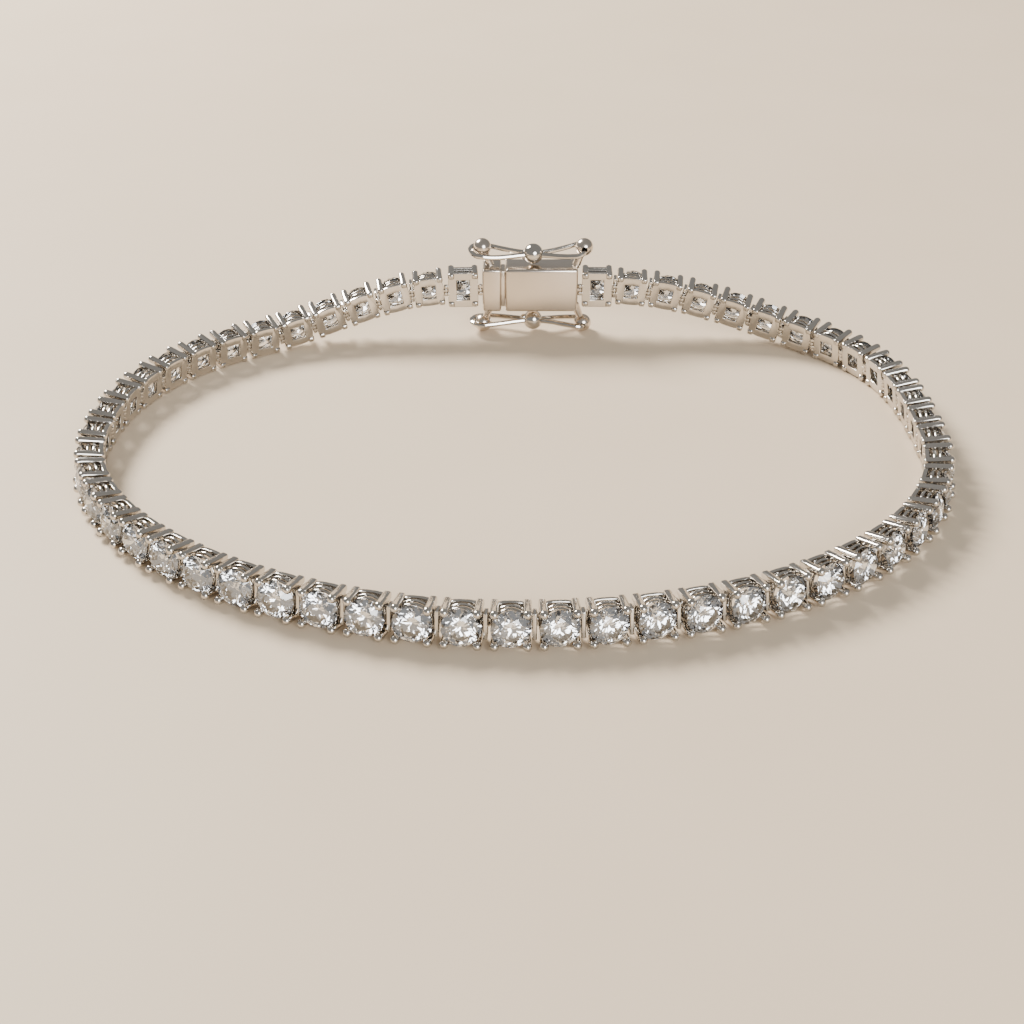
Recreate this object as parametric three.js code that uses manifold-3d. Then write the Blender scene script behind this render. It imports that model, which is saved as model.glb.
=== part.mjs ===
// A four-prong line bracelet, also called a tennis bracelet, closed and standing on its edge.
// Millimetres, +Z up. The stones face outwards all round, and the clasp closes the oval at the back (+Y).
// Every setting is made once in its own frame, with X along the chain, Y into the wrist hollow and Z up,
// and its hinge line on X. The chain is then walked round the oval from hinge to hinge.

import * as THREE from 'three';
import { mergeVertices } from 'three/addons/utils/BufferGeometryUtils.js';
import Module from 'manifold-3d';

const wasm = await Module();
wasm.setup();

// Chain: settings of one pitch, joined in runs, with one end setting on each side of the clasp.
const LINK_PITCH = 3.1;
const RUN_LENGTHS = [5, 5, 5, 5, 5, 3, 5, 5, 5, 5, 5];
const RUN_SETTINGS = RUN_LENGTHS.reduce((sum, length) => sum + length, 0);
const LINK_COUNT = RUN_SETTINGS + 2;
const PIECE_GAP = 0.1;

// Oval that the hinges lie on, as it happened to be laid down. Its depth is a share of its width, and each
// quarter has its own squareness: 2 is an ellipse, and more is fuller at the corner.
const OVAL_DEPTH = 0.72;
const SQUARENESS = { rearLeft: 2.4, rearRight: 3.3, frontLeft: 1.9, frontRight: 2.05 };
const CLASP_SHIFT = 1.55;
const CLASP_HINGE_SPAN = 9.0;
const RAMP_LINKS = { left: 5.5, right: 6.5 };

// Ordinary setting and its round stone, and the larger box-shaped setting at each end of the chain.
const SETTING = {
  width: 2.62, height: 2.84, depth: 0.45, windowWidth: 1.25, windowHeight: 1.25, prong: 0.5,
};
const NEXT_FRAME_EDGE = LINK_PITCH - SETTING.width / 2;
const END_SETTING = {
  width: 2.7, height: 3.3, depth: 1.5, windowWidth: 1.3, windowHeight: 1.9, prong: 0.5,
};
const FRAME_STEP = 0.1;
const PRONG_REACH = 2.12;
const STONE = { radius: 1.33, tableRadius: 0.76, culet: 0.45, girdle: 1.52, table: 1.93, sides: 8 };
const TAB = { height: 0.9, thickness: 0.35, bite: 0.15 };

// Clasp: a box that takes the tongue, and the block that carries the tongue.
const CLASP = { length: 8.6, height: 4.1, thickness: 2.7, blockLength: 1.7, groove: 0.36, bevel: 0.2 };
const TONGUE = { length: 4.6, height: 2.3, thickness: 0.9, clearance: 0.3 };
const CLASP_MIDDLE_OUT = 1.0;

// Safety catches: a figure-eight wire over each long side, pivoting in one ball and snapping over the other.
const WIRE_RADIUS = 0.2;
const WIRE_SIDES = 6;
const CATCH = { pivotX: 4.85, knobX: -4.3, endRise: 3.7, eyeDrop: 0.2, eyeRadius: 1.07, pinch: 0.18 };
const UPPER_DIP = 0.62;
const LOWER_DIP = 0.3;
const END_BALL_RADIUS = 0.8;
const MIDDLE_BALL_RADIUS = 0.9;
const BALL_SIDES = 12;
const POST_RADIUS = 0.26;
const POST_LEAN = 0.75;
const PIN_CLEARANCE = 0.07;

const whiteGold = () => new THREE.MeshStandardMaterial({ color: 0xd6d3cf, metalness: 1, roughness: 0.16 });

// ---- Solids ----

function toManifold(geometry) {
  const bare = geometry.clone();
  bare.deleteAttribute('normal');
  bare.deleteAttribute('uv');
  const merged = mergeVertices(bare, 1e-5);
  const vertProperties = new Float32Array(merged.attributes.position.array);
  const triVerts = new Uint32Array(merged.index.array);
  return new wasm.Manifold(new wasm.Mesh({ numProp: 3, vertProperties, triVerts }));
}

function toGeometry(manifold) {
  const { vertProperties, triVerts } = manifold.getMesh();
  const geometry = new THREE.BufferGeometry();
  geometry.setAttribute('position', new THREE.BufferAttribute(new Float32Array(vertProperties), 3));
  geometry.setIndex(new THREE.BufferAttribute(new Uint32Array(triVerts), 1));
  return geometry;
}

function joined(geometries) {
  return toGeometry(geometries.map(toManifold).reduce((whole, piece) => whole.add(piece)));
}

function cut(geometry, tools) {
  const whole = toManifold(geometry);
  return toGeometry(tools.map(toManifold).reduce((rest, tool) => rest.subtract(tool), whole));
}

// ---- Plan of the chain ----

function ovalPoint(halfWidth, angle) {
  const onRight = Math.cos(angle) >= 0;
  const rearQuarter = onRight ? SQUARENESS.rearRight : SQUARENESS.rearLeft;
  const frontQuarter = onRight ? SQUARENESS.frontRight : SQUARENESS.frontLeft;
  const power = 2 / (Math.sin(angle) >= 0 ? rearQuarter : frontQuarter);
  const along = Math.sign(Math.cos(angle)) * Math.abs(Math.cos(angle)) ** power;
  const across = Math.sign(Math.sin(angle)) * Math.abs(Math.sin(angle)) ** power;
  return new THREE.Vector2(halfWidth * along, halfWidth * OVAL_DEPTH * across);
}

function bisect(low, high, rising) {
  for (let step = 0; step < 50; step += 1) {
    const middle = (low + high) / 2;
    if (rising(middle) > 0) high = middle;
    else low = middle;
  }
  return (low + high) / 2;
}

// Height of a hinge above the settings that lie on the surface: the chain climbs to the raised clasp.
function hingeLift(index, claspLift) {
  const onLeft = index < LINK_COUNT / 2;
  const linksFromEnd = onLeft ? index - 1 : LINK_COUNT - 1 - index;
  const ramp = onLeft ? RAMP_LINKS.left : RAMP_LINKS.right;
  const share = THREE.MathUtils.clamp(1 - linksFromEnd / ramp, 0, 1);
  return claspLift * share * share * (3 - 2 * share);
}

function walkOval(halfWidth, claspLift) {
  const firstX = CLASP_SHIFT - CLASP_HINGE_SPAN / 2;
  const firstAngle = bisect(Math.PI / 2, Math.PI, (angle) => firstX - ovalPoint(halfWidth, angle).x);
  const angles = [firstAngle];
  for (let index = 1; index <= LINK_COUNT; index += 1) {
    const from = ovalPoint(halfWidth, angles[index - 1]);
    const climb = hingeLift(index, claspLift) - hingeLift(index - 1, claspLift);
    const chord = Math.sqrt(LINK_PITCH ** 2 - climb ** 2);
    const start = angles[index - 1];
    angles.push(bisect(start, start + 0.6, (angle) => ovalPoint(halfWidth, angle).distanceTo(from) - chord));
  }
  const points = angles.map((angle) => ovalPoint(halfWidth, angle));
  const sign = Math.sign(firstAngle + 2 * Math.PI - angles[LINK_COUNT]);
  return { points, gap: sign * points[LINK_COUNT].distanceTo(points[0]) };
}

// The oval is sized so that the links and the clasp close it, and turned so that the clasp lies along X.
function hingePoints(claspLift) {
  const halfWidth = bisect(28, 38, (size) => walkOval(size, claspLift).gap - CLASP_HINGE_SPAN);
  const { points } = walkOval(halfWidth, claspLift);
  const across = points[LINK_COUNT].clone().sub(points[0]);
  const middle = new THREE.Vector2(0, 0);
  return points.map((point, index) => {
    const turned = point.clone().rotateAround(middle, -across.angle());
    return new THREE.Vector3(turned.x, turned.y, SETTING.height / 2 + hingeLift(index, claspLift));
  });
}

function linkMatrix(from, to) {
  const along = to.clone().sub(from).normalize();
  const inward = new THREE.Vector3(0, 0, 1).cross(along).normalize();
  const up = along.clone().cross(inward);
  const matrix = new THREE.Matrix4().makeBasis(along, inward, up);
  return matrix.setPosition(from.clone().add(to).multiplyScalar(0.5));
}

// ---- Settings ----

function block(width, height, fromOut, toOut) {
  return new THREE.BoxGeometry(width, toOut - fromOut, height).translate(0, -(fromOut + toOut) / 2, 0);
}

// Square frame with its window on the wrist side. A cross cut leaves four prongs standing at its corners.
function collet(size) {
  const frameOut = size.depth - FRAME_STEP;
  const past = 1;
  const cross = joined([
    block(size.width + past, size.height - 2 * size.prong, frameOut, PRONG_REACH + past),
    block(size.width - 2 * size.prong, size.height + past, frameOut, PRONG_REACH + past),
  ]);
  const window = block(size.windowWidth, size.windowHeight, -FRAME_STEP - past, frameOut + past);
  return cut(block(size.width, size.height, -FRAME_STEP, PRONG_REACH), [cross, window]);
}

// Round brilliant, kept to its girdle, table and culet.
function stone() {
  const { radius, tableRadius, culet, girdle, table, sides } = STONE;
  const profile = [[0, culet], [radius, girdle], [tableRadius, table], [0, table]];
  const points = profile.map(([across, out]) => new THREE.Vector2(across, out));
  return new THREE.LatheGeometry(points, sides).rotateY(Math.PI / sides).rotateX(Math.PI);
}

// Flat hinge tab at mid height that reaches from one frame to the next.
function hingeTab(fromX, toX) {
  const tab = new THREE.BoxGeometry(toX - fromX, TAB.thickness, TAB.height);
  return tab.translate((fromX + toX) / 2, FRAME_STEP / 2 - TAB.thickness / 2, 0);
}

// The tab reaches into the next frame within a run, and stops a gap short of it between two pieces.
function setting(size, nextEdge, joinsNext) {
  const tabEnd = joinsNext ? nextEdge + TAB.bite : nextEdge - PIECE_GAP;
  return joined([collet(size), stone(), hingeTab(size.width / 2 - TAB.bite, tabEnd)]);
}

function settingRun(hinges, firstLink, length) {
  const links = Array.from({ length }, (_, offset) => {
    const link = firstLink + offset;
    const last = offset === length - 1;
    return setting(SETTING, NEXT_FRAME_EDGE, !last).applyMatrix4(linkMatrix(hinges[link - 1], hinges[link]));
  });
  return joined(links);
}

// ---- Clasp, in its own frame: X to the right, Y outwards, Z up, origin at its middle ----

function bevelledBlock(fromX, toX) {
  const bevel = CLASP.bevel;
  const halfHeight = CLASP.height / 2 - bevel;
  const shape = new THREE.Shape();
  shape.moveTo(fromX + bevel, -halfHeight);
  shape.lineTo(toX - bevel, -halfHeight);
  shape.lineTo(toX - bevel, halfHeight);
  shape.lineTo(fromX + bevel, halfHeight);
  const depth = CLASP.thickness - 2 * bevel;
  const options = { depth, bevelThickness: bevel, bevelSize: bevel, bevelSegments: 1 };
  const solid = new THREE.ExtrudeGeometry(shape, options);
  return solid.rotateX(Math.PI / 2).translate(0, CLASP.thickness / 2 - bevel, 0);
}

function tongueBar(fromX, toX, growth) {
  const bar = new THREE.BoxGeometry(toX - fromX, TONGUE.thickness + 2 * growth, TONGUE.height + 2 * growth);
  return bar.translate((fromX + toX) / 2, 0, 0);
}

function ball(radius, x, z) {
  const sphere = new THREE.SphereGeometry(radius, BALL_SIDES, BALL_SIDES / 2);
  return sphere.rotateX(Math.PI / 2).translate(x, 0, z);
}

// Post that leans outwards from the long side of the clasp up to the ball on its end.
function post(x, side) {
  const foot = new THREE.Vector3(x - Math.sign(x) * POST_LEAN, 0, side * (CLASP.height / 2 - CLASP.bevel));
  const head = new THREE.Vector3(x, 0, side * CATCH.endRise);
  const length = foot.distanceTo(head);
  const upright = new THREE.CylinderGeometry(POST_RADIUS, POST_RADIUS, length, WIRE_SIDES);
  const turn = new THREE.Quaternion().setFromUnitVectors(
    new THREE.Vector3(0, 1, 0), head.clone().sub(foot).normalize());
  const middle = foot.clone().add(head).multiplyScalar(0.5);
  return upright.applyQuaternion(turn).translate(middle.x, middle.y, middle.z);
}

function claspTab(fromX, toX) {
  const tab = new THREE.BoxGeometry(toX - fromX, TAB.thickness, TAB.height);
  return tab.translate((fromX + toX) / 2, TAB.thickness / 2 - FRAME_STEP / 2 - CLASP_MIDDLE_OUT, 0);
}

// Box with its tongue socket open to the left, and a cross-bored ball on a post over each long side.
function claspBox() {
  const left = -CLASP.length / 2 + CLASP.blockLength + CLASP.groove;
  const right = CLASP.length / 2;
  const socket = tongueBar(left - 1, left + TONGUE.length, TONGUE.clearance);
  const body = cut(bevelledBlock(left, right), [socket]);
  const boreRadius = WIRE_RADIUS + PIN_CLEARANCE;
  const bores = [1, -1].map((side) => new THREE.CylinderGeometry(boreRadius, boreRadius, 3, WIRE_SIDES)
    .translate(CATCH.pivotX, 0, side * CATCH.endRise));
  const heads = [1, -1].flatMap((side) => [
    post(CATCH.pivotX, side),
    ball(END_BALL_RADIUS, CATCH.pivotX, side * CATCH.endRise),
  ]);
  return cut(joined([body, ...heads]), bores);
}

// Block that closes the box's mouth, with the tongue, its two knobs and the tab to the first setting.
function claspTongue() {
  const left = -CLASP.length / 2;
  const right = left + CLASP.blockLength;
  const tongueEnd = right + CLASP.groove + TONGUE.length - TONGUE.clearance;
  const tabEnd = -CLASP_HINGE_SPAN / 2 - (LINK_PITCH - END_SETTING.width) / 2 + PIECE_GAP;
  const knobs = [1, -1].flatMap((side) => [
    post(CATCH.knobX, side),
    ball(END_BALL_RADIUS, CATCH.knobX, side * CATCH.endRise),
  ]);
  return joined([
    bevelledBlock(left, right),
    tongueBar(right - CLASP.bevel, tongueEnd, 0),
    ...knobs,
    claspTab(tabEnd, left + TAB.bite),
  ]);
}

// Route of the figure-eight wire: from the middle of its pivot pin, out and along one strand to the pinch,
// round the eye at the knob, and back along the other strand.
function catchRoute(dip) {
  const { pivotX, knobX, endRise, eyeDrop, eyeRadius, pinch } = CATCH;
  const middleX = (pivotX + knobX) / 2;
  const halfLength = (pivotX - knobX) / 2;
  const bend = 2 * WIRE_RADIUS;
  const strand = [0.9, 0.75, 0.55, 0.35, 0.15, 0, -0.15, -0.35, -0.55, -0.75, -0.9].map((share) => {
    const away = Math.abs(share);
    const spread = pinch + (eyeRadius - pinch) * away * away * (3 - 2 * away);
    const rise = endRise - dip * (1 - away * away) - (share < 0 ? eyeDrop * away * away : 0);
    return new THREE.Vector3(middleX + share * halfLength, spread, rise);
  });
  const eye = [90, 120, 150].map((degrees) => {
    const angle = THREE.MathUtils.degToRad(degrees);
    const x = knobX + eyeRadius * Math.cos(angle);
    return new THREE.Vector3(x, eyeRadius * Math.sin(angle), endRise - eyeDrop);
  });
  const half = [
    new THREE.Vector3(pivotX, 0, endRise),
    new THREE.Vector3(pivotX, eyeRadius - bend, endRise),
    new THREE.Vector3(pivotX - bend * 0.3, eyeRadius - bend * 0.3, endRise),
    ...strand,
    ...eye,
  ];
  const tip = new THREE.Vector3(knobX - eyeRadius, 0, endRise - eyeDrop);
  const back = half.slice().reverse().map((point) => new THREE.Vector3(point.x, -point.y, point.z));
  const overlap = new THREE.Vector3(pivotX, WIRE_RADIUS, endRise);
  return new THREE.CatmullRomCurve3([...half, tip, ...back, overlap], false, 'centripetal');
}

function safetyCatch(dip) {
  const section = new THREE.Shape();
  for (let side = 0; side < WIRE_SIDES; side += 1) {
    const angle = (side / WIRE_SIDES) * 2 * Math.PI;
    const point = [WIRE_RADIUS * Math.cos(angle), WIRE_RADIUS * Math.sin(angle)];
    if (side === 0) section.moveTo(...point);
    else section.lineTo(...point);
  }
  const wire = new THREE.ExtrudeGeometry(section, { steps: 40, extrudePath: catchRoute(dip) });
  const middleX = (CATCH.pivotX + CATCH.knobX) / 2;
  return joined([wire, ball(MIDDLE_BALL_RADIUS, middleX, CATCH.endRise - dip)]);
}

// ---- The bracelet ----

const claspCentreHeight = CATCH.endRise + END_BALL_RADIUS;
const hinges = hingePoints(claspCentreHeight - SETTING.height / 2);
const bracelet = new THREE.Group();

function addPiece(parent, name, geometry) {
  const mesh = new THREE.Mesh(geometry, whiteGold());
  mesh.name = name;
  parent.add(mesh);
}

const endToFirst = setting(END_SETTING, NEXT_FRAME_EDGE, false);
addPiece(bracelet, 'end_setting_left', endToFirst.applyMatrix4(linkMatrix(hinges[0], hinges[1])));

let nextLink = 2;
RUN_LENGTHS.forEach((length, index) => {
  const name = `settings_run_${String(index + 1).padStart(2, '0')}`;
  addPiece(bracelet, name, settingRun(hinges, nextLink, length));
  nextLink += length;
});

const claspEdge = (LINK_PITCH + CLASP_HINGE_SPAN - CLASP.length) / 2;
const endToBox = setting(END_SETTING, claspEdge, false);
const lastLink = linkMatrix(hinges[LINK_COUNT - 1], hinges[LINK_COUNT]);
addPiece(bracelet, 'end_setting_right', endToBox.applyMatrix4(lastLink));

const clasp = new THREE.Group();
const claspMiddle = hinges[0].clone().add(hinges[LINK_COUNT]).multiplyScalar(0.5);
clasp.position.copy(claspMiddle).add(new THREE.Vector3(0, CLASP_MIDDLE_OUT, 0));
addPiece(clasp, 'clasp_box', claspBox());
addPiece(clasp, 'clasp_tongue', claspTongue());
addPiece(clasp, 'upper_catch', safetyCatch(UPPER_DIP));
addPiece(clasp, 'lower_catch', safetyCatch(LOWER_DIP).rotateX(Math.PI));
bracelet.add(clasp);

// The origin is under the middle of the bracelet, on the surface that it stands on.
const box = new THREE.Box3().setFromObject(bracelet, true);
const centre = box.getCenter(new THREE.Vector3());
bracelet.position.set(-centre.x, -centre.y, -box.min.z);

export default bracelet;
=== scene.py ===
import math

import bmesh
import bpy
from mathutils import Matrix, Vector


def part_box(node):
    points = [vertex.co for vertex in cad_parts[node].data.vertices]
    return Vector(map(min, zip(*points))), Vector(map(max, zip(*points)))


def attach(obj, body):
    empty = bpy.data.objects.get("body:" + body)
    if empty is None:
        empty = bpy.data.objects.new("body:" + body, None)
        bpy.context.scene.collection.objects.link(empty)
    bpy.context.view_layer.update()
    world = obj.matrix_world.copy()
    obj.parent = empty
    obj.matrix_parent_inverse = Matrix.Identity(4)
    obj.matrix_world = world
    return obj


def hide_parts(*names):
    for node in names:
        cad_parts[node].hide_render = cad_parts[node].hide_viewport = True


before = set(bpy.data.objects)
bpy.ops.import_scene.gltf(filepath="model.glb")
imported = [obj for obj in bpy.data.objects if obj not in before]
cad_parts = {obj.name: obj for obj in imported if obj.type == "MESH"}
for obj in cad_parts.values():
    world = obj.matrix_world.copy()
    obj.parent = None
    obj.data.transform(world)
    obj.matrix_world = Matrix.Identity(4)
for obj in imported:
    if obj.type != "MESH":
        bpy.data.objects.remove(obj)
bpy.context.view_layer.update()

bpy.ops.object.select_all(action="DESELECT")


# ---- Course of the chain ----
# The settings stand on edge round an oval, hinge to hinge, and climb at the back to the taller clasp.
# A course is walked in chords of one pitch from the clasp's left hinge, round the front, to its right one.

MM = 0.001
PITCH = 3.1 * MM
SETTING_HEIGHT = 2.84 * MM
RUN_LENGTHS = (5, 5, 5, 5, 5, 3, 5, 5, 5, 5, 5)
LINK_COUNT = sum(RUN_LENGTHS) + 2
CLASP_HINGE_SPAN = 9.0 * MM
CLASP_BESIDE_MIDDLE = 1.55 * MM
OVAL_DEPTH = 0.72
REAR_SQUARENESS = {"left": 2.4, "right": 3.3}
FRONT_SQUARENESS = {"left": 1.9, "right": 2.05}
RAMP_LINKS = {"left": 5.5, "right": 6.5}
CHAIN_LEAN = math.radians(10)
LEAN_RAMP_LINKS = 4
clasp_low, clasp_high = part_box("clasp_box")
clasp_height = (clasp_low.z + clasp_high.z) / 2
clasp_lift = clasp_height - SETTING_HEIGHT / 2


def oval_point(half_width, angle):
    """Point of the oval. Each quarter has its own squareness: 2 is an ellipse, and more is fuller."""
    side = "right" if math.cos(angle) >= 0 else "left"
    squareness = REAR_SQUARENESS if math.sin(angle) >= 0 else FRONT_SQUARENESS
    power = 2 / squareness[side]
    along = math.copysign(abs(math.cos(angle)) ** power, math.cos(angle))
    across = math.copysign(abs(math.sin(angle)) ** power, math.sin(angle))
    return Vector((half_width * along, half_width * OVAL_DEPTH * across))


def bisect_value(low, high, rising):
    """Value between low and high where a rising measure passes nought."""
    for _ in range(50):
        middle = (low + high) / 2
        if rising(middle) > 0:
            high = middle
        else:
            low = middle
    return (low + high) / 2


def hinge_lift(index):
    """How far a hinge stands above those of the settings that lie on the surface."""
    on_left = index < LINK_COUNT / 2
    links_from_end = index - 1 if on_left else LINK_COUNT - 1 - index
    share = 1 - links_from_end / RAMP_LINKS["left" if on_left else "right"]
    share = min(max(share, 0), 1)
    return clasp_lift * share * share * (3 - 2 * share)


def walk_oval(half_width):
    """Plan of all hinges on an oval of this size, and the gap that they leave for the clasp."""
    first_x = CLASP_BESIDE_MIDDLE - CLASP_HINGE_SPAN / 2
    first = bisect_value(math.pi / 2, math.pi, lambda a: first_x - oval_point(half_width, a).x)
    angles = [first]
    for index in range(1, LINK_COUNT + 1):
        start = angles[-1]
        climb = hinge_lift(index) - hinge_lift(index - 1)
        chord = math.sqrt(PITCH ** 2 - climb ** 2)
        here = oval_point(half_width, start)
        angles.append(bisect_value(
            start, start + 0.6, lambda a: (oval_point(half_width, a) - here).length - chord))
    plan = [oval_point(half_width, angle) for angle in angles]
    short = math.copysign(1, first + 2 * math.pi - angles[-1])
    return plan, short * (plan[-1] - plan[0]).length


half_width = bisect_value(28 * MM, 38 * MM, lambda size: walk_oval(size)[1] - CLASP_HINGE_SPAN)
plan, _ = walk_oval(half_width)
turn = Matrix.Rotation(-math.atan2(plan[-1].y - plan[0].y, plan[-1].x - plan[0].x), 2)
plan = [turn @ point for point in plan]

# The clasp's middle stands this far outside the line between its hinges, and to the right of its box's mouth.
CLASP_OUT = 1.0 * MM
MOUTH_FROM_MIDDLE = 2.24 * MM
clasp_middle = Vector((clasp_low.x + MOUTH_FROM_MIDDLE, (clasp_low.y + clasp_high.y) / 2, clasp_height))
shift = clasp_middle.xy - Vector((0, CLASP_OUT)) - (plan[0] + plan[-1]) / 2
hinges = [
    Vector((*(point + shift), SETTING_HEIGHT / 2 + hinge_lift(index)))
    for index, point in enumerate(plan)
]


def link_place(link):
    """Place of a setting: X from hinge to hinge, Y into the wrist hollow, Z across the chain.

    Away from the clasp, each setting leans back so that its stone faces up a little."""
    start, end = hinges[link - 1], hinges[link]
    along = (end - start).normalized()
    inward = Vector((0, 0, 1)).cross(along).normalized()
    place = Matrix((along, inward, along.cross(inward))).transposed().to_4x4()
    place.translation = (start + end) / 2
    links_from_end = min(link - 1, LINK_COUNT - link)
    lean = CHAIN_LEAN * min(1, links_from_end / LEAN_RAMP_LINKS)
    return place @ Matrix.Rotation(-lean, 4, "X")


# ---- White gold ----
# All metal is cast white gold, tumbled and polished bright. Each look is a small tree of shader nodes:
# a slow change of tone, and a polish that is a little duller in places, with faint wheel marks.

class Signal:
    """An output of a shader node. An expression on signals adds its Math nodes."""

    def __init__(self, look, socket):
        self.look = look
        self.socket = socket

    def maths(self, operation, first, second):
        return self.look.node("ShaderNodeMath", {"operation": operation}, {0: first, 1: second})

    def __add__(self, other):
        return self.maths("ADD", self, other)

    def __mul__(self, other):
        return self.maths("MULTIPLY", self, other)


class Look:
    """A material under construction, with one method that adds any node."""

    def __init__(self, name):
        self.material = bpy.data.materials.new(name)
        self.material.use_nodes = True
        self.tree = self.material.node_tree
        self.tree.nodes.clear()

    def node(self, kind, settings=None, inputs=None, output=0):
        made = self.tree.nodes.new(kind)
        for name, value in (settings or {}).items():
            setattr(made, name, value)
        for name, value in (inputs or {}).items():
            if isinstance(value, Signal):
                self.tree.links.new(value.socket, made.inputs[name])
            else:
                made.inputs[name].default_value = value
        return Signal(self, made.outputs[output]) if len(made.outputs) else None

    def object_place(self):
        return self.node("ShaderNodeTexCoord", output="Object")

    def noise(self, size, detail=2.0, stretch=None):
        """Soft noise from 0 to 1 with blotches of about this size in metres."""
        place = self.object_place()
        if stretch:
            place = self.node("ShaderNodeMapping", inputs={"Vector": place, "Scale": stretch})
        return self.node("ShaderNodeTexNoise", inputs={"Vector": place, "Scale": 1 / size, "Detail": detail})

    def finish(self, **surface):
        named = {name.replace("_", " "): value for name, value in surface.items()}
        shader = self.node("ShaderNodeBsdfPrincipled", inputs=named)
        self.node("ShaderNodeOutputMaterial", inputs={"Surface": shader})
        return self.material


def white_gold(name, bright, dull, smooth, rough, marks):
    """Polished white gold between two tones and two roughnesses, with polishing marks of this depth."""
    look = Look(name)
    tone = look.node(
        "ShaderNodeMix", {"data_type": "RGBA"},
        {0: look.noise(1.9 * MM), 6: (*dull, 1), 7: (*bright, 1)}, output=2)
    haze = look.noise(0.45 * MM, 3.0)
    wheel = look.noise(0.12 * MM, 2.0, stretch=(1, 1, 0.2))
    relief = look.node("ShaderNodeBump", inputs={"Height": wheel, "Strength": marks, "Distance": 0.01 * MM})
    return look.finish(
        Base_Color=tone, Roughness=haze * (rough - smooth) + smooth, Metallic=1.0, Normal=relief)


polished_gold = white_gold(
    "polished_white_gold", (0.73, 0.69, 0.635), (0.56, 0.525, 0.48), 0.05, 0.17, 0.05)


# ---- Ordinary setting ----
# Cast in one: a square seat with a window behind the stone, two gallery rings, and four square prongs
# whose tips are beaded over the stone. A hinge barrel on its left turns between two on its left neighbour,
# and an upright leaf on its right fills the gap to the next.

def pick(kind, wanted):
    """In edit mode, selects the points, edges or faces of the open piece that are wanted."""
    bpy.ops.mesh.select_mode(type=kind)
    bpy.ops.mesh.select_all(action="DESELECT")
    form = bmesh.from_edit_mesh(bpy.context.edit_object.data)
    for item in {"VERT": form.verts, "EDGE": form.edges, "FACE": form.faces}[kind]:
        item.select_set(bool(wanted(item)))
    form.select_flush_mode()
    bmesh.update_edit_mesh(bpy.context.edit_object.data)


def edit(piece):
    bpy.context.view_layer.objects.active = piece
    bpy.ops.object.mode_set(mode="EDIT")


def settle():
    """Leaves edit mode and puts the active piece's place and size into its mesh."""
    if bpy.context.mode != "OBJECT":
        bpy.ops.object.mode_set(mode="OBJECT")
    bpy.ops.object.transform_apply(location=True, rotation=True, scale=True)
    return bpy.context.object


def soften(piece, width, segments=2, sharper_than=35):
    """Rounds the piece's sharp edges."""
    round_over = piece.modifiers.new("round_over", "BEVEL")
    round_over.width = width
    round_over.segments = segments
    round_over.limit_method = "ANGLE"
    round_over.angle_limit = math.radians(sharper_than)
    bpy.context.view_layer.objects.active = piece
    bpy.ops.object.modifier_apply(modifier=round_over.name)
    return piece


def unite(piece, others, operation="UNION"):
    """Solders the others to the piece, or with DIFFERENCE cuts them out of it, and takes them away."""
    bpy.context.view_layer.objects.active = piece
    for other in others:
        weld = piece.modifiers.new("weld", "BOOLEAN")
        weld.operation = operation
        weld.solver = "EXACT"
        weld.object = other
        bpy.ops.object.modifier_apply(modifier=weld.name)
        bpy.data.objects.remove(other)
    return piece


def bar(low, high):
    """Plain bar between two corners."""
    low, high = Vector(low), Vector(high)
    bpy.ops.mesh.primitive_cube_add(size=1, location=(low + high) / 2, scale=high - low)
    return settle()


def is_edge_along(edge, axis):
    """Whether an edge runs along this axis."""
    run = (edge.verts[1].co - edge.verts[0].co).normalized()
    return abs(run[axis]) > 0.99


def back_frame(width, height, window_width, window_height, inner, outer):
    """Square frame with rounded corners and a window cut straight through."""
    piece = bar((-width / 2, -outer, -height / 2), (width / 2, inner, height / 2))
    edit(piece)
    pick("FACE", lambda face: abs(face.normal.y) > 0.9)
    bpy.ops.mesh.inset(thickness=(width - window_width) / 2)
    inset_height = height - (width - window_width)
    bpy.ops.transform.resize(value=(1, 1, window_height / inset_height))
    bpy.ops.mesh.bridge_edge_loops()
    pick("EDGE", lambda edge: is_edge_along(edge, 1) and abs(edge.verts[0].co.x) > window_width * 0.6)
    bpy.ops.mesh.bevel(offset=0.32 * MM, segments=4, affect="EDGES")
    settle()
    return soften(piece, 0.06 * MM)


SEAT_SQUARENESS = 3.4


def cushion_seat(width, height, window, inner, outer):
    """Plate on the wrist side, square with gently arched edges, with a square window behind the stone."""
    bpy.ops.mesh.primitive_cylinder_add(
        vertices=64, radius=1, depth=inner + outer, location=(0, (inner - outer) / 2, 0),
        rotation=(math.pi / 2, 0, 0))
    piece = settle()
    for corner in piece.data.vertices:
        x, z = corner.co.x, corner.co.z
        to_edge = (abs(x) ** SEAT_SQUARENESS + abs(z) ** SEAT_SQUARENESS) ** (-1 / SEAT_SQUARENESS)
        corner.co.x, corner.co.z = x * to_edge * width / 2, z * to_edge * height / 2
    cut_past = MM
    opening = bar(
        (-window / 2, -outer - cut_past, -window / 2), (window / 2, inner + cut_past, window / 2))
    return soften(unite(piece, [opening], "DIFFERENCE"), 0.05 * MM)


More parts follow.
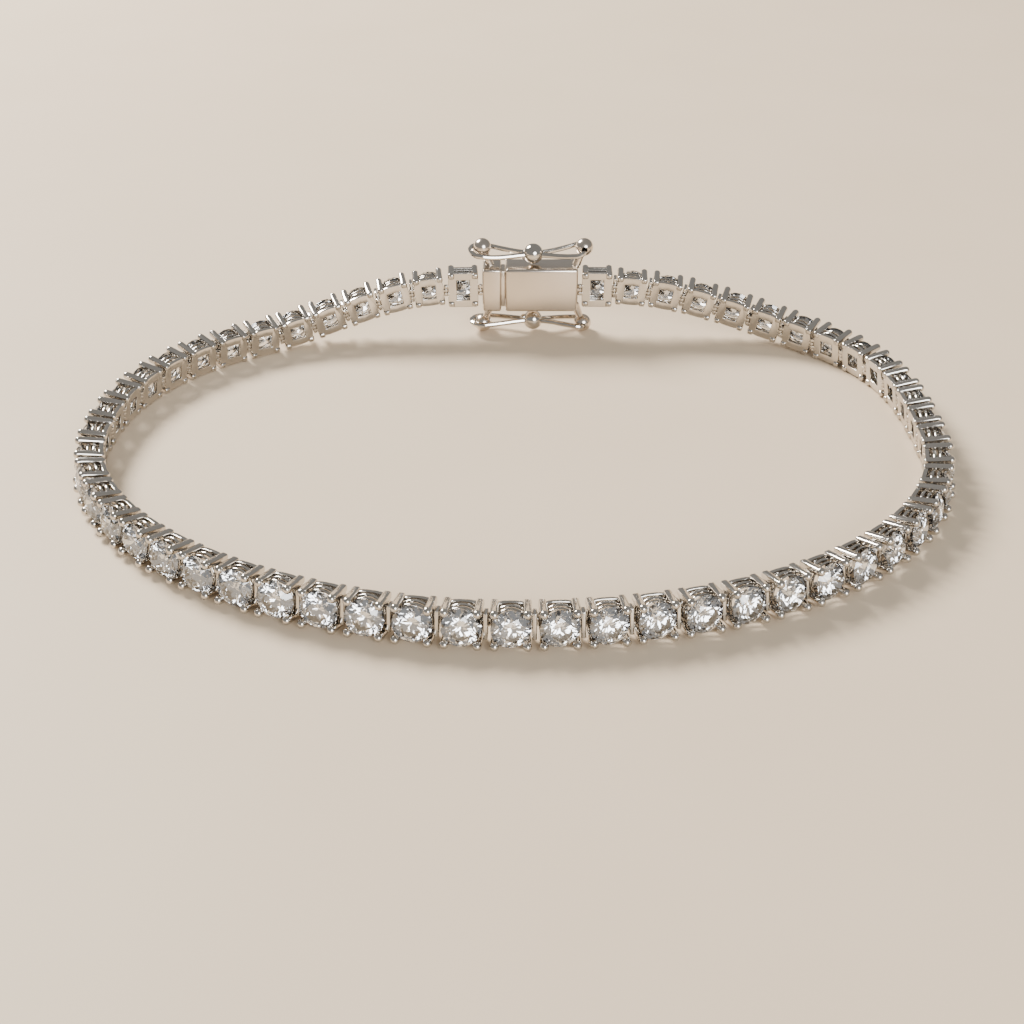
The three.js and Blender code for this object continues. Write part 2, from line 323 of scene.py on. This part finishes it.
def prong(x, z, back, tip, radius, bead):
    """Soft-edged square rod from a domed end behind the seat to a beaded tip over the stone's edge."""
    edge_round, dome_round, nose = radius * 0.62, radius * 0.8, radius * 0.35
    rod = bar((x - radius, tip, z - radius), (x + radius, back, z + radius))
    edit(rod)
    pick("EDGE", lambda edge: is_edge_along(edge, 1))
    bpy.ops.mesh.bevel(offset=edge_round, segments=4, affect="EDGES")
    pick("FACE", lambda face: face.normal.y > 0.9)
    bpy.ops.mesh.bevel(offset=dome_round, segments=4, affect="EDGES")
    pick("FACE", lambda face: face.normal.y < -0.9)
    bpy.ops.mesh.extrude_region_move(TRANSFORM_OT_translate={"value": (0, -nose, 0)})
    bpy.ops.transform.resize(value=(0.7, 1, 0.7))
    settle()
    bpy.ops.mesh.primitive_uv_sphere_add(
        segments=16, ring_count=10, radius=bead, location=(x, tip - radius * 0.1, z))
    return rod, settle()


def gallery_ring(radius, across, deep, at):
    """Ring between the prongs, of half sizes across and deep, this far out from the hinge line."""
    bpy.ops.mesh.primitive_torus_add(
        major_radius=radius, minor_radius=across, major_segments=40, minor_segments=10,
        location=(0, at, 0), rotation=(math.pi / 2, 0, 0))
    ring = settle()
    edit(ring)
    bpy.ops.mesh.select_all(action="SELECT")
    bpy.ops.transform.resize(value=(1, deep / across, 1), center_override=(0, at, 0))
    return settle()


BARREL_RADIUS = 0.2 * MM
BARREL_HEIGHT = 0.32 * MM
BARREL_STEP = 0.34 * MM


def hinge_leaf(edge, pin, heights):
    """Barrels round a hinge pin at these heights, each with the tab that carries it."""
    made = []
    for height in heights:
        bpy.ops.mesh.primitive_cylinder_add(
            vertices=14, radius=BARREL_RADIUS, depth=BARREL_HEIGHT, location=(pin, 0, height))
        made.append(soften(settle(), 0.04 * MM))
        near, far = sorted((edge, pin - math.copysign(BARREL_RADIUS * 0.4, pin - edge)))
        half = BARREL_HEIGHT / 2 - 0.03 * MM
        tab = bar((near, -0.15 * MM, height - half), (far, 0.12 * MM, height + half))
        made.append(soften(tab, 0.03 * MM))
    return made


def polish(piece, material, angle=35):
    """Gives a finished piece its look, smooth except over its sharp edges."""
    bpy.ops.object.select_all(action="DESELECT")
    piece.select_set(True)
    bpy.context.view_layer.objects.active = piece
    bpy.ops.object.shade_smooth_by_angle(angle=math.radians(angle))
    piece.data.materials.clear()
    piece.data.materials.append(material)
    return piece


def side_link(edge, pin):
    """Upright leaf in the gap to the next setting, on an arm from this one's side."""
    half_height, arm_half_height = 0.95 * MM, 0.3 * MM
    leaf = bar((pin - 0.17 * MM, -1.2 * MM, -half_height), (pin + 0.14 * MM, -0.3 * MM, half_height))
    arm = bar((edge, -0.8 * MM, -arm_half_height), (pin, -0.45 * MM, arm_half_height))
    return [soften(leaf, 0.07 * MM, segments=3), soften(arm, 0.04 * MM)]


SEAT_INNER = 0.1 * MM
SEAT_OUTER = 0.24 * MM
SEAT_WIDTH, SEAT_HEIGHT = 2.68 * MM, 2.66 * MM
WINDOW = 1.25 * MM
PRONG_BESIDE, PRONG_ABOVE = 1.07 * MM, 1.14 * MM
BITE = 0.1 * MM


def ordinary_setting():
    """One whole setting in its own place, with the hinge line on X."""
    piece = cushion_seat(SEAT_WIDTH, SEAT_HEIGHT, WINDOW, SEAT_INNER, SEAT_OUTER)
    soldered = side_link(SEAT_WIDTH / 2 - 0.15 * MM, PITCH / 2)
    for x in (-PRONG_BESIDE, PRONG_BESIDE):
        for z in (-PRONG_ABOVE, PRONG_ABOVE):
            soldered += prong(x, z, back=0.24 * MM, tip=-1.74 * MM, radius=0.28 * MM, bead=0.31 * MM)
    soldered.append(gallery_ring(1.24 * MM, across=0.11 * MM, deep=0.13 * MM, at=-0.6 * MM))
    soldered.append(gallery_ring(1.22 * MM, across=0.08 * MM, deep=0.1 * MM, at=-1.05 * MM))
    edge = SEAT_WIDTH / 2 - BITE
    soldered += hinge_leaf(edge, PITCH / 2, (-BARREL_STEP, BARREL_STEP))
    soldered += hinge_leaf(-edge, -PITCH / 2, (0,))
    return polish(unite(piece, soldered), polished_gold)


setting = ordinary_setting()


# ---- Stone ----
# A round brilliant, cut as a cutter does: a round blank, then one flat facet after another.
# Eight main facets and eight star facets round the table, sixteen halves, and the same below the girdle.

STONE_RADIUS = 1.33 * MM
GIRDLE = 0.05 * MM
GIRDLE_OUT = 1.5 * MM
TABLE_RISE = 0.41 * MM


def facet(slope, angle, distance, below=False):
    """Grinds away what lies past one plane, which leans by slope from the girdle's plane."""
    side = -1 if below else 1
    normal = Vector((
        math.sin(slope) * math.cos(angle), math.sin(slope) * math.sin(angle), side * math.cos(slope)))
    bpy.ops.mesh.select_all(action="SELECT")
    bpy.ops.mesh.bisect(
        plane_co=normal * distance, plane_no=normal, use_fill=True, clear_outer=True, threshold=1e-9)


def cut_stone():
    crown, star, half = math.radians(34.5), math.radians(21), math.radians(40.5)
    pavilion, lower_half = math.radians(40.8), math.radians(42.2)
    turn = math.pi / 4
    table_radius = STONE_RADIUS - TABLE_RISE / math.tan(crown)
    top = GIRDLE / 2 + TABLE_RISE
    bpy.ops.mesh.primitive_cylinder_add(vertices=48, radius=STONE_RADIUS, depth=4 * STONE_RADIUS)
    piece = settle()
    edit(piece)
    facet(0, 0, top)
    rim = GIRDLE / 2
    reach = STONE_RADIUS * math.cos(turn / 4)
    for step in range(8):
        facet(crown, step * turn, STONE_RADIUS * math.sin(crown) + rim * math.cos(crown))
        facet(pavilion, step * turn, STONE_RADIUS * math.sin(pavilion) + rim * math.cos(pavilion), True)
    for step in range(8):
        edge = table_radius * math.cos(turn / 2)
        facet(star, (step + 0.5) * turn, edge * math.sin(star) + top * math.cos(star))
    for step in range(16):
        angle = (step + 0.5) * turn / 2
        facet(half, angle, reach * math.sin(half) + rim * math.cos(half))
        facet(lower_half, angle, reach * math.sin(lower_half) + rim * math.cos(lower_half), True)
    bpy.ops.mesh.select_all(action="SELECT")
    bpy.ops.mesh.remove_doubles(threshold=1e-6)
    bpy.ops.mesh.normals_make_consistent(inside=False)
    bpy.ops.object.mode_set(mode="OBJECT")
    piece.rotation_euler = (math.pi / 2, 0, math.radians(7))
    piece.location = (0, -GIRDLE_OUT, 0)
    return settle()


def stone_look():
    """Clear stone of high refraction, with hardly any tone of its own."""
    look = Look("clear_stone")
    tone = look.node(
        "ShaderNodeMix", {"data_type": "RGBA"},
        {0: look.noise(6 * MM), 6: (0.95, 0.97, 1.0, 1), 7: (1.0, 1.0, 1.0, 1)}, output=2)
    return look.finish(
        Base_Color=tone, Roughness=0.0, Metallic=0.0, IOR=2.4, Transmission_Weight=1.0)


stone = cut_stone()
stone.data.materials.append(stone_look())


# ---- Chain ----
# Three or five settings to a run, each run one piece of metal and one of stones, set from the left of the
# clasp round the front to its right. Every copy of a setting has a mesh of its own before they are joined.

STONE_TURNS = (0, 14, -9, 5, 19)


def copies(pattern, places, name):
    """One piece made of the pattern, copied to each place."""
    made = []
    for place in places:
        copy = pattern.copy()
        copy.data = pattern.data.copy()
        copy.data.transform(place)
        bpy.context.collection.objects.link(copy)
        made.append(copy)
    bpy.ops.object.select_all(action="DESELECT")
    for copy in made:
        copy.select_set(True)
    bpy.context.view_layer.objects.active = made[0]
    if len(made) > 1:
        bpy.ops.object.join()
    made[0].name = name
    made[0].data.name = name
    return made[0]


def stone_place(link):
    """A stone is set turned a little, no two neighbours alike."""
    turned = Matrix.Rotation(math.radians(STONE_TURNS[link % len(STONE_TURNS)]), 4, "Y")
    return link_place(link) @ turned


def set_in_chain(metal, node, links):
    """Places the metal and the stones of one CAD node and lets them ride on the bracelet."""
    body = copies(metal, [link_place(link) for link in links], node + "_metal")
    stones = copies(stone, [stone_place(link) for link in links], node + "_stones")
    for piece, slot in ((body, "white_gold"), (stones, "stone")):
        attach(piece, "bracelet")
        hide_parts(node)


first = 2
for number, length in enumerate(RUN_LENGTHS, 1):
    set_in_chain(setting, f"settings_run_{number:02d}", range(first, first + length))
    first += length


# ---- End settings ----
# The first and the last setting are deeper and taller, to meet the clasp: three square hoops, one behind
# the other, with a tall window through them, held together by the four prongs.

END_WIDTH, END_HEIGHT = 2.7 * MM, 3.3 * MM
END_WINDOW_WIDTH, END_WINDOW_HEIGHT = 1.2 * MM, 1.9 * MM
HOOP_WINDOW_WIDTH, HOOP_WINDOW_HEIGHT = 1.5 * MM, 2.1 * MM
HOOP_HALF_DEPTH = 0.15 * MM
END_PRONG_BESIDE, END_PRONG_ABOVE = 1.07 * MM, 1.35 * MM


def end_setting():
    piece = back_frame(
        END_WIDTH, END_HEIGHT, END_WINDOW_WIDTH, END_WINDOW_HEIGHT, SEAT_INNER, 0.3 * MM)
    soldered = []
    for depth in (0.75 * MM, 1.25 * MM):
        hoop = back_frame(
            END_WIDTH, END_HEIGHT, HOOP_WINDOW_WIDTH, HOOP_WINDOW_HEIGHT, HOOP_HALF_DEPTH, HOOP_HALF_DEPTH)
        hoop.data.transform(Matrix.Translation((0, -depth, 0)))
        soldered.append(hoop)
    for x in (-END_PRONG_BESIDE, END_PRONG_BESIDE):
        for z in (-END_PRONG_ABOVE, END_PRONG_ABOVE):
            soldered += prong(x, z, back=0.27 * MM, tip=-1.78 * MM, radius=0.29 * MM, bead=0.3 * MM)
    edge = END_WIDTH / 2 - BITE
    soldered += hinge_leaf(edge, PITCH / 2, (-BARREL_STEP, BARREL_STEP))
    soldered += hinge_leaf(-edge, -PITCH / 2, (0,))
    return polish(unite(piece, soldered), polished_gold)


end_metal = end_setting()
set_in_chain(end_metal, "end_setting_left", [1])
set_in_chain(end_metal, "end_setting_right", [LINK_COUNT])
for pattern in (setting, stone, end_metal):
    bpy.data.objects.remove(pattern)


# ---- Clasp box ----
# Folded and soldered box of plain satin white gold with a rounded edge, open on the left for the tongue.
# A post on each long side carries a ball, cross-bored for the pin of the safety catch.

CLASP_LENGTH = 8.6 * MM
CLASP_HALF_HEIGHT = 2.05 * MM
CLASP_HALF_THICKNESS = 1.35 * MM
END_BALL_RISE = 3.7 * MM
END_BALL_RADIUS = 0.8 * MM
PIVOT_BESIDE = 4.85 * MM
SOCKET_END = 2.36 * MM
SOCKET_HALF_THICKNESS, SOCKET_HALF_HEIGHT = 0.75 * MM, 1.45 * MM
POST_RADIUS = 0.27 * MM
BORE_RADIUS = 0.27 * MM
HINGE_BESIDE = CLASP_HINGE_SPAN / 2

satin_gold = white_gold("satin_white_gold", (0.715, 0.64, 0.56), (0.655, 0.585, 0.51), 0.14, 0.26, 0.1)


def clasp_block(left, right):
    block = bar(
        (left, -CLASP_HALF_THICKNESS, -CLASP_HALF_HEIGHT), (right, CLASP_HALF_THICKNESS, CLASP_HALF_HEIGHT))
    return soften(block, 0.24 * MM, segments=4)


def ball(radius, x, z):
    """Polished ball, its poles turned to the bore's axis."""
    bpy.ops.mesh.primitive_uv_sphere_add(
        segments=32, ring_count=18, radius=radius, location=(x, 0, z), rotation=(math.pi / 2, 0, 0))
    return settle()


def leaning_post(x, side):
    """Post from the clasp's long side, leaning outwards to the ball on its end, with a soldered foot."""
    foot = Vector((x - math.copysign(0.75 * MM, x), 0, side * (CLASP_HALF_HEIGHT - 0.2 * MM)))
    head = Vector((x, 0, side * END_BALL_RISE))
    lean = (head - foot).to_track_quat("Z", "Y").to_euler()
    bpy.ops.mesh.primitive_cylinder_add(
        vertices=18, radius=POST_RADIUS, depth=(head - foot).length,
        location=(foot + head) / 2, rotation=lean)
    post = settle()
    edit(post)
    pick("VERT", lambda point: abs(point.co.z - foot.z) < 0.25 * MM)
    bpy.ops.transform.resize(value=(1.5, 1.5, 1))
    settle()
    return post


def clasp_leaf(side, heights):
    """The clasp's share of the hinge to the setting beside it."""
    leaf = hinge_leaf(side * (CLASP_LENGTH / 2 - BITE), side * HINGE_BESIDE, heights)
    for part in leaf:
        part.data.transform(Matrix.Translation((0, -CLASP_OUT, 0)))
    return leaf


def fit_clasp_piece(piece, name, body, node):
    """Moves a finished piece from the clasp's middle to its place, and hands it to its body."""
    piece.data.transform(Matrix.Translation(clasp_middle))
    piece.name = name
    piece.data.name = name
    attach(piece, body)
    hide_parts(node)


def clasp_box():
    block = clasp_block(-MOUTH_FROM_MIDDLE, CLASP_LENGTH / 2)
    socket = bar(
        (-MOUTH_FROM_MIDDLE - MM, -SOCKET_HALF_THICKNESS, -SOCKET_HALF_HEIGHT),
        (SOCKET_END, SOCKET_HALF_THICKNESS, SOCKET_HALF_HEIGHT))
    unite(block, [socket], "DIFFERENCE")
    soldered = clasp_leaf(1, (0,))
    bores = []
    for side in (-1, 1):
        soldered.append(leaning_post(PIVOT_BESIDE, side))
        soldered.append(ball(END_BALL_RADIUS, PIVOT_BESIDE, side * END_BALL_RISE))
        bpy.ops.mesh.primitive_cylinder_add(
            vertices=20, radius=BORE_RADIUS, depth=3 * MM, rotation=(math.pi / 2, 0, 0),
            location=(PIVOT_BESIDE, 0, side * END_BALL_RISE))
        bores.append(settle())
    unite(block, soldered)
    return polish(unite(block, bores, "DIFFERENCE"), satin_gold)


fit_clasp_piece(clasp_box(), "clasp_box_body", "bracelet", "clasp_box")


# ---- Clasp tongue ----
# Narrow block of the same section that closes the box's mouth, with a neck in the groove and the tongue
# behind it. A ball on a post at each long side is what the catch's eye snaps over.

KNOB_BESIDE = -4.3 * MM
GROOVE = 0.36 * MM
TONGUE_END = 2.06 * MM
TONGUE_HALF_THICKNESS, TONGUE_HALF_HEIGHT = 0.45 * MM, 1.15 * MM
NECK_HALF_THICKNESS, NECK_HALF_HEIGHT = 0.9 * MM, 1.7 * MM


def clasp_tongue():
    block_end = -MOUTH_FROM_MIDDLE - GROOVE
    block = clasp_block(-CLASP_LENGTH / 2, block_end)
    root = block_end - 0.2 * MM
    neck_end = block_end + GROOVE - 0.03 * MM
    tongue = bar(
        (root, -TONGUE_HALF_THICKNESS, -TONGUE_HALF_HEIGHT),
        (TONGUE_END, TONGUE_HALF_THICKNESS, TONGUE_HALF_HEIGHT))
    neck = bar(
        (root, -NECK_HALF_THICKNESS, -NECK_HALF_HEIGHT),
        (neck_end, NECK_HALF_THICKNESS, NECK_HALF_HEIGHT))
    soldered = [soften(tongue, 0.12 * MM), soften(neck, 0.06 * MM)]
    soldered += clasp_leaf(-1, (-BARREL_STEP, BARREL_STEP))
    for side in (-1, 1):
        soldered.append(leaning_post(KNOB_BESIDE, side))
        soldered.append(ball(END_BALL_RADIUS, KNOB_BESIDE, side * END_BALL_RISE))
    return polish(unite(block, soldered), satin_gold)


fit_clasp_piece(clasp_tongue(), "clasp_tongue_body", "bracelet", "clasp_tongue")


# ---- Safety catches ----
# One figure-eight of round wire over each long side. Its pin turns in the box's ball, its two strands are
# pinched together under a middle ball, and its eye closes round the ball on the tongue's block.

WIRE_RADIUS = 0.23 * MM
MIDDLE_BALL_RADIUS = 0.9 * MM
EYE_RADIUS = 1.07 * MM
EYE_DROP = 0.2 * MM
PINCH = 0.18 * MM
STRAND_SHARES = (0.9, 0.75, 0.55, 0.35, 0.15, 0, -0.15, -0.35, -0.55, -0.75, -0.9)


def catch_route(dip, tilt):
    """Closed route of the wire: through the pin, along one strand, round the eye and back.

    Its inner strand hangs lower than its outer one by the tilt."""
    middle = (PIVOT_BESIDE + KNOB_BESIDE) / 2
    half_length = (PIVOT_BESIDE - KNOB_BESIDE) / 2
    bend = 2 * WIRE_RADIUS
    half = [
        Vector((PIVOT_BESIDE, EYE_RADIUS - bend, END_BALL_RISE)),
        Vector((PIVOT_BESIDE - bend * 0.3, EYE_RADIUS - bend * 0.3, END_BALL_RISE)),
    ]
    for share in STRAND_SHARES:
        away = abs(share)
        spread = PINCH + (EYE_RADIUS - PINCH) * away * away * (3 - 2 * away)
        rise = END_BALL_RISE - dip * (1 - away * away)
        if share < 0:
            rise -= EYE_DROP * away * away
        half.append(Vector((middle + share * half_length, spread, rise)))
    for degrees in (90, 120, 150):
        angle = math.radians(degrees)
        half.append(Vector((
            KNOB_BESIDE + EYE_RADIUS * math.cos(angle), EYE_RADIUS * math.sin(angle),
            END_BALL_RISE - EYE_DROP)))
    pin = Vector((PIVOT_BESIDE, 0, END_BALL_RISE))
    tip = Vector((KNOB_BESIDE - EYE_RADIUS, 0, END_BALL_RISE - EYE_DROP))
    back = [
        Vector((point.x, -point.y, point.z - tilt * point.y / EYE_RADIUS))
        for point in reversed(half)
    ]
    return [pin, *half, tip, *back]


def safety_catch(dip, tilt):
    route = catch_route(dip, tilt)
    wire = bpy.data.curves.new("wire", "CURVE")
    wire.dimensions = "3D"
    wire.bevel_depth = WIRE_RADIUS
    wire.bevel_resolution = 3
    wire.resolution_u = 5
    strand = wire.splines.new("BEZIER")
    strand.bezier_points.add(len(route) - 1)
    for point, place in zip(strand.bezier_points, route):
        point.co = place
        point.handle_left_type = "AUTO"
        point.handle_right_type = "AUTO"
    strand.use_cyclic_u = True
    bent = bpy.data.objects.new("wire", wire)
    bpy.context.collection.objects.link(bent)
    bpy.ops.object.select_all(action="DESELECT")
    bent.select_set(True)
    bpy.context.view_layer.objects.active = bent
    bpy.ops.object.convert(target="MESH")
    piece = bpy.context.object
    middle = (PIVOT_BESIDE + KNOB_BESIDE) / 2
    height = END_BALL_RISE - dip
    bead = ball(0.3 * MM, middle - 0.85 * MM, height - 0.25 * MM)
    unite(piece, [ball(MIDDLE_BALL_RADIUS, middle, height), bead])
    return polish(piece, polished_gold)


fit_clasp_piece(safety_catch(0.62 * MM, 0.32 * MM), "upper_catch_wire", "upper_catch", "upper_catch")
lower_wire = safety_catch(0.3 * MM, 0)
lower_wire.data.transform(Matrix.Rotation(math.pi, 4, "X"))
fit_clasp_piece(lower_wire, "lower_catch_wire", "lower_catch", "lower_catch")


# ---- Table, light and camera ----
# A plain pale table top, a wide soft window behind and to the left, and a low white reflector in front.

bpy.ops.mesh.primitive_plane_add(size=4)
table_top = settle()
table_top.name = "table_top"
table_look = Look("pale_table_top")
table_top.data.materials.append(table_look.finish(
    Base_Color=table_look.node(
        "ShaderNodeMix", {"data_type": "RGBA"},
        {0: table_look.noise(18 * MM), 6: (0.715, 0.58, 0.42, 1), 7: (0.76, 0.62, 0.46, 1)}, output=2),
    Roughness=0.55, Specular_IOR_Level=0.25))


def soft_light(name, place, aim, size, power, warmth):
    light = bpy.data.lights.new(name, "AREA")
    light.shape = "DISK"
    light.size = size
    light.energy = power
    light.color = warmth
    lamp = bpy.data.objects.new(name, light)
    bpy.context.collection.objects.link(lamp)
    lamp.location = place
    lamp.rotation_euler = (Vector(place) - Vector(aim)).to_track_quat("Z", "Y").to_euler()


soft_light("window", (-0.34, 0.36, 0.4), (0, 0, 0), 0.24, 10.6, (1.0, 0.95, 0.89))
soft_light("reflector", (0.2, -0.5, 0.24), (0, 0, 0), 0.34, 3.2, (0.98, 0.99, 1.0))

world = bpy.data.worlds.new("studio")
bpy.context.scene.world = world
world.use_nodes = True
air = world.node_tree.nodes["Background"]
air.inputs["Color"].default_value = (1.0, 0.985, 0.96, 1)
air.inputs["Strength"].default_value = 0.32

CAMERA_PLACE = (-0.1 * MM, -101.1 * MM, 58.7 * MM)
CAMERA_DOWN = 32.16
camera = bpy.data.objects.new("camera", bpy.data.cameras.new("camera"))
bpy.context.collection.objects.link(camera)
camera.location = CAMERA_PLACE
camera.rotation_euler = (math.radians(90 - CAMERA_DOWN), 0, 0)
camera.data.lens = 52
camera.data.clip_start = 5 * MM
bpy.context.scene.camera = camera
